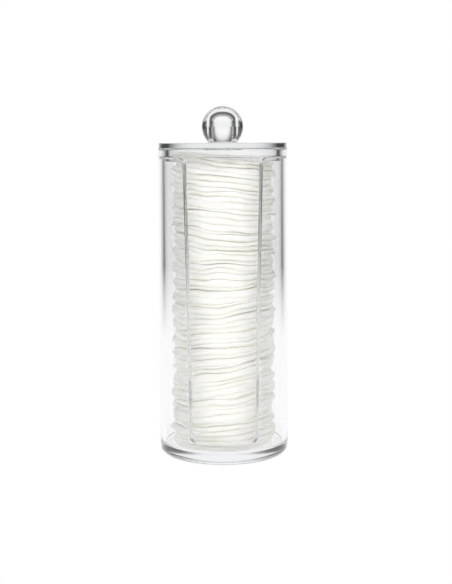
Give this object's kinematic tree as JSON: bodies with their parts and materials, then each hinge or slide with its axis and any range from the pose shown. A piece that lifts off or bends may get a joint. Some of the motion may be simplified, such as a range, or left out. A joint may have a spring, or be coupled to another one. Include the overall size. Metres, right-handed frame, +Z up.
{
  "type": "cotton pad dispenser",
  "caption": "Upright clear tube with an open slot down its front, a flush lift-off lid with a ball knob, and a tall stack of round cotton pads held inside.",
  "frame": {"origin": "middle of the base's underside, on the table", "axes": "+Z up along the tube, the slot faces -Y, +X to the right of someone facing the slot"},
  "size_m": [0.0744, 0.0744, 0.2005],
  "materials": {
    "clear_tube": "clear polished moulding",
    "clear_lid": "clear polished moulding",
    "cotton": "soft fibrous cotton, matt"
  },
  "bodies": {
    "container": {"container": "clear_tube", "pad_01": "cotton", "pad_02": "cotton", "pad_03": "cotton", "pad_04": "cotton", "pad_05": "cotton", "pad_06": "cotton", "pad_07": "cotton", "pad_08": "cotton", "pad_09": "cotton", "pad_10": "cotton", "pad_11": "cotton", "pad_12": "cotton", "pad_13": "cotton", "pad_14": "cotton", "pad_15": "cotton", "pad_16": "cotton", "pad_17": "cotton", "pad_18": "cotton", "pad_19": "cotton", "pad_20": "cotton", "pad_21": "cotton", "pad_22": "cotton", "pad_23": "cotton", "pad_24": "cotton", "pad_25": "cotton", "pad_26": "cotton", "pad_27": "cotton", "pad_28": "cotton", "pad_29": "cotton", "pad_30": "cotton", "pad_31": "cotton", "pad_32": "cotton", "pad_33": "cotton", "pad_34": "cotton", "pad_35": "cotton", "pad_36": "cotton", "pad_37": "cotton", "pad_38": "cotton", "pad_39": "cotton", "pad_40": "cotton", "pad_41": "cotton", "pad_42": "cotton", "pad_43": "cotton", "pad_44": "cotton", "pad_45": "cotton", "pad_46": "cotton", "pad_47": "cotton", "pad_48": "cotton", "pad_49": "cotton", "pad_50": "cotton", "pad_51": "cotton", "pad_52": "cotton", "pad_53": "cotton", "pad_54": "cotton", "pad_55": "cotton", "pad_56": "cotton", "pad_57": "cotton"},
    "lid": {"lid": "clear_lid", "knob": "clear_lid"}
  },
  "joints": [
    {"name": "lid_lift", "type": "slide", "parent": "container", "child": "lid", "axis": [0, 0, 1], "range_m": [0, 0.06]}
  ]
}
